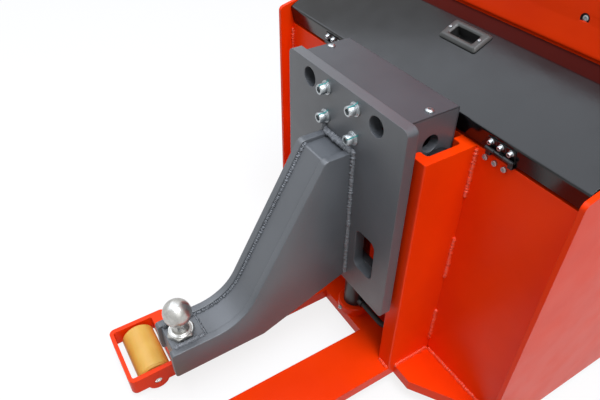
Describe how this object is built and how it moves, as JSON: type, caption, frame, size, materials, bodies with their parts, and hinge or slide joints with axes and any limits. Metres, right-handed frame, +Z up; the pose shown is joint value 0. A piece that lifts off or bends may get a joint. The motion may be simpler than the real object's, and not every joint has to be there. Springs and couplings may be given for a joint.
{
  "type": "stand-on electric tow tractor",
  "caption": "Stand-on electric tow tractor: lifting ball hitch on a mast carriage, straddle legs with rollers, battery bay, backrest, rider platform and steered drive unit.",
  "frame": {"origin": "on the floor under the middle of the overall box", "axes": "+X the travel direction, away from the hitch; +Y the left side; +Z up"},
  "size_m": [1.615, 0.736, 1.13],
  "materials": {
    "orange_paint": "gloss",
    "grey_paint": "satin",
    "black_gloss": "gloss",
    "black_paint": "satin",
    "motor_paint": "matte",
    "cast_grey": "matte",
    "cell_case": "matte",
    "bright_steel": "machined",
    "zinc_steel": "plated",
    "hard_chrome": "polished",
    "roller_urethane": "satin",
    "black_rubber": "matte",
    "pad_vinyl": "grained",
    "black_plastic": "matte",
    "grey_plastic": "satin",
    "lamp_lens": "clear",
    "red_plastic": "gloss",
    "yellow_plastic": "gloss",
    "fin_aluminium": "anodised"
  },
  "bodies": {
    "chassis": {"base_plate": "orange_paint", "leg_heads": "orange_paint", "leg_roller_pins": "bright_steel", "side_plates": "orange_paint", "bulkhead": "orange_paint", "mast_channels": "orange_paint", "frame_welds": "orange_paint", "cylinder_seat": "orange_paint", "bleed_screw": "zinc_steel", "lift_cylinder": "black_paint", "hydraulic_unit": "motor_paint", "hydraulic_hose": "black_rubber", "battery_pack": "cell_case", "battery_front_wall": "orange_paint", "backrest_shell": "orange_paint", "backrest_pad": "pad_vinyl", "frame_screws": "zinc_steel", "hinge_frame_leaves": "black_paint", "platform_plate": "black_paint", "platform_mat": "black_rubber", "toe_panel": "black_paint", "front_frame": "black_paint", "turntable_ring": "bright_steel", "front_hood": "orange_paint", "console": "black_plastic", "bumper": "black_paint", "controller": "fin_aluminium", "headlamps": "lamp_lens"},
    "carriage": {"carriage_plate": "grey_paint", "carriage_frame": "grey_paint", "carriage_cover": "grey_paint", "carriage_screws": "zinc_steel", "gooseneck_sides": "grey_paint", "gooseneck_webs": "grey_paint", "tow_ball": "bright_steel", "gooseneck_welds": "grey_paint", "lift_rod": "hard_chrome"},
    "upper_rollers": {"upper_rollers": "black_paint"},
    "lower_rollers": {"lower_rollers": "black_paint"},
    "leg_roller_left": {"leg_roller_left": "roller_urethane"},
    "leg_roller_right": {"leg_roller_right": "roller_urethane"},
    "lid": {"battery_lid": "black_gloss", "lid_handle": "grey_plastic", "hinge_lid_leaves": "black_paint", "lid_screws": "zinc_steel"},
    "drive_unit": {"drive_gearbox": "cast_grey", "drive_motor": "motor_paint"},
    "drive_wheel": {"drive_wheel": "roller_urethane"},
    "caster_fork_left": {"caster_fork_left": "zinc_steel"},
    "caster_fork_right": {"caster_fork_right": "zinc_steel"},
    "caster_wheel_left": {"caster_wheel_left": "black_rubber"},
    "caster_wheel_right": {"caster_wheel_right": "black_rubber"},
    "steering_handle": {"steering_handle": "black_plastic", "handle_grips": "black_rubber"},
    "throttle": {"throttle_paddle": "grey_plastic"},
    "horn": {"horn_button": "yellow_plastic"},
    "lift_rocker": {"lift_rocker": "grey_plastic"},
    "emergency_button": {"emergency_button": "red_plastic"},
    "key": {"key_switch": "bright_steel"},
    "presence_pedal": {"presence_pedal": "black_rubber"}
  },
  "joints": [
    {"name": "carriage_lift", "type": "slide", "parent": "chassis", "child": "carriage", "axis": [0, 0, 1], "range_m": [-0.12, 0]},
    {"name": "upper_roller_spin", "type": "hinge", "parent": "carriage", "child": "upper_rollers", "pos_m": [-0.3035, 0, 0.534], "axis": [0, 1, 0], "range_deg": [-5, 215]},
    {"name": "lower_roller_spin", "type": "hinge", "parent": "carriage", "child": "lower_rollers", "pos_m": [-0.3035, 0, 0.28], "axis": [0, 1, 0], "range_deg": [-215, 5]},
    {"name": "leg_roller_left_spin", "type": "hinge", "parent": "chassis", "child": "leg_roller_left", "pos_m": [-0.7535, 0.1375, 0.034], "axis": [0, 1, 0], "continuous": true},
    {"name": "leg_roller_right_spin", "type": "hinge", "parent": "chassis", "child": "leg_roller_right", "pos_m": [-0.7535, -0.1375, 0.034], "axis": [0, 1, 0], "continuous": true},
    {"name": "lid_hinge", "type": "hinge", "parent": "chassis", "child": "lid", "pos_m": [-0.26037, 0, 0.58348], "axis": [0, -1, 0], "range_deg": [0, 16]},
    {"name": "drive_steer", "type": "hinge", "parent": "chassis", "child": "drive_unit", "pos_m": [0.6175, 0, 0.28], "axis": [0, 0, 1], "range_deg": [-80, 80]},
    {"name": "drive_wheel_spin", "type": "hinge", "parent": "drive_unit", "child": "drive_wheel", "pos_m": [0.6175, 0, 0.115], "axis": [0, 1, 0], "continuous": true},
    {"name": "caster_left_swivel", "type": "hinge", "parent": "chassis", "child": "caster_fork_left", "pos_m": [0.6175, 0.265, 0.135], "axis": [0, 0, 1], "continuous": true},
    {"name": "caster_right_swivel", "type": "hinge", "parent": "chassis", "child": "caster_fork_right", "pos_m": [0.6175, -0.265, 0.135], "axis": [0, 0, 1], "continuous": true},
    {"name": "caster_left_spin", "type": "hinge", "parent": "caster_fork_left", "child": "caster_wheel_left", "pos_m": [0.5825, 0.265, 0.05], "axis": [0, 1, 0], "continuous": true},
    {"name": "caster_right_spin", "type": "hinge", "parent": "caster_fork_right", "child": "caster_wheel_right", "pos_m": [0.5825, -0.265, 0.05], "axis": [0, 1, 0], "continuous": true},
    {"name": "steering_turn", "type": "hinge", "parent": "chassis", "child": "steering_handle", "pos_m": [0.5195, 0, 0.9528], "axis": [-0.342, 0, 0.9397], "range_deg": [-60, 60]},
    {"name": "throttle_turn", "type": "hinge", "parent": "steering_handle", "child": "throttle", "pos_m": [0.48141, 0, 1.01534], "axis": [0, 1, 0], "range_deg": [-20, 20], "stiffness_Nm_per_rad": 1.5},
    {"name": "horn_press", "type": "slide", "parent": "steering_handle", "child": "horn", "axis": [-0.342, 0, 0.9397], "range_m": [-0.003, 0], "stiffness_N_per_m": 800, "springref_m": 0.001},
    {"name": "lift_rocker_tilt", "type": "hinge", "parent": "steering_handle", "child": "lift_rocker", "pos_m": [0.49356, 0, 1.07319], "axis": [0, 1, 0], "range_deg": [-8, 8], "stiffness_Nm_per_rad": 0.3},
    {"name": "emergency_press", "type": "slide", "parent": "chassis", "child": "emergency_button", "axis": [-0.342, 0, 0.9397], "range_m": [-0.005, 0]},
    {"name": "key_turn", "type": "hinge", "parent": "chassis", "child": "key", "pos_m": [0.5195, -0.12, 0.9528], "axis": [-0.342, 0, 0.9397], "range_deg": [0, 90]},
    {"name": "presence_pedal_press", "type": "hinge", "parent": "chassis", "child": "presence_pedal", "pos_m": [0.3145, 0, 0.094], "axis": [0, -1, 0], "range_deg": [0, 3.5], "stiffness_Nm_per_rad": 100, "springref_deg": -6.88}
  ],
  "couplings": [
    {"joint": "upper_roller_spin", "follows": "carriage_lift", "rad_per_m": -30.769},
    {"joint": "lower_roller_spin", "follows": "carriage_lift", "rad_per_m": 30.769},
    {"joint": "steering_turn", "follows": "drive_steer", "ratio": 0.75}
  ]
}
